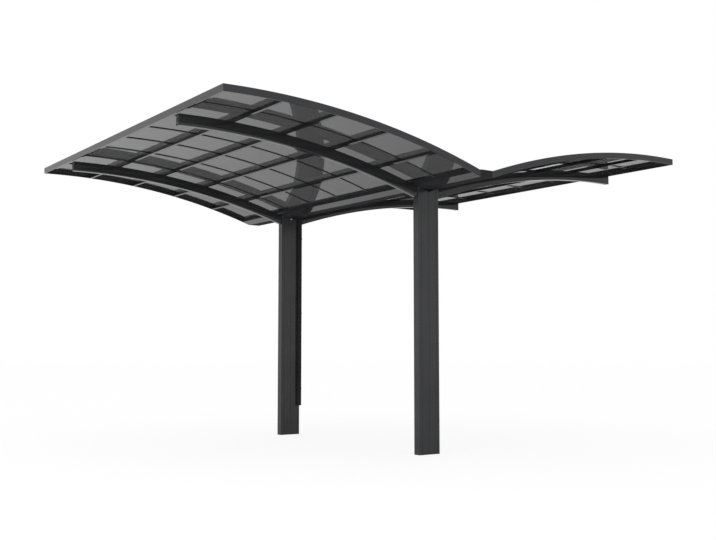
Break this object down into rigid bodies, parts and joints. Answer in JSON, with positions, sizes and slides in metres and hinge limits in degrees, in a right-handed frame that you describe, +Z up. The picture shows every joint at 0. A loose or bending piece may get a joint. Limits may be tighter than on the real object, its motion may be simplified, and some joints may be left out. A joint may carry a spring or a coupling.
{
  "type": "carport",
  "caption": "Double-wing cantilever carport: in-line posts carry curved beams and two arched smoked-sheet roofs that fall to a central gutter.",
  "frame": {"origin": "middle of the front post's foot, at ground level", "axes": "+X across the two wings, +Y along the gutter from the front post to the rear post, +Z up"},
  "size_m": [6.18, 5.05, 3.505],
  "materials": {
    "post_metal": "satin anthracite powder coat",
    "beam_metal": "satin anthracite powder coat",
    "frame_metal": "satin anthracite powder coat",
    "smoked_sheet": "glossy smoked translucent sheet"
  },
  "bodies": {
    "root": {"front_post": "post_metal", "rear_post": "post_metal", "front_left_shoe": "beam_metal", "front_right_shoe": "beam_metal", "rear_left_shoe": "beam_metal", "rear_right_shoe": "beam_metal", "front_left_beam": "beam_metal", "front_right_beam": "beam_metal", "rear_left_beam": "beam_metal", "rear_right_beam": "beam_metal", "front_left_beam_cap": "beam_metal", "front_right_beam_cap": "beam_metal", "rear_left_beam_cap": "beam_metal", "rear_right_beam_cap": "beam_metal", "left_purlin_1": "frame_metal", "left_purlin_2": "frame_metal", "left_purlin_3": "frame_metal", "left_purlin_4": "frame_metal", "right_purlin_1": "frame_metal", "right_purlin_2": "frame_metal", "right_purlin_3": "frame_metal", "right_purlin_4": "frame_metal", "left_eave_frame": "frame_metal", "right_eave_frame": "frame_metal", "left_valley_frame": "frame_metal", "right_valley_frame": "frame_metal", "left_front_trim": "frame_metal", "left_rear_trim": "frame_metal", "right_front_trim": "frame_metal", "right_rear_trim": "frame_metal", "left_glazing_bars": "frame_metal", "right_glazing_bars": "frame_metal", "left_glazing_caps": "frame_metal", "right_glazing_caps": "frame_metal", "left_sheets": "smoked_sheet", "right_sheets": "smoked_sheet", "gutter": "frame_metal", "gutter_front_cap": "frame_metal", "gutter_rear_cap": "frame_metal", "downpipe": "frame_metal"}
  },
  "joints": []
}
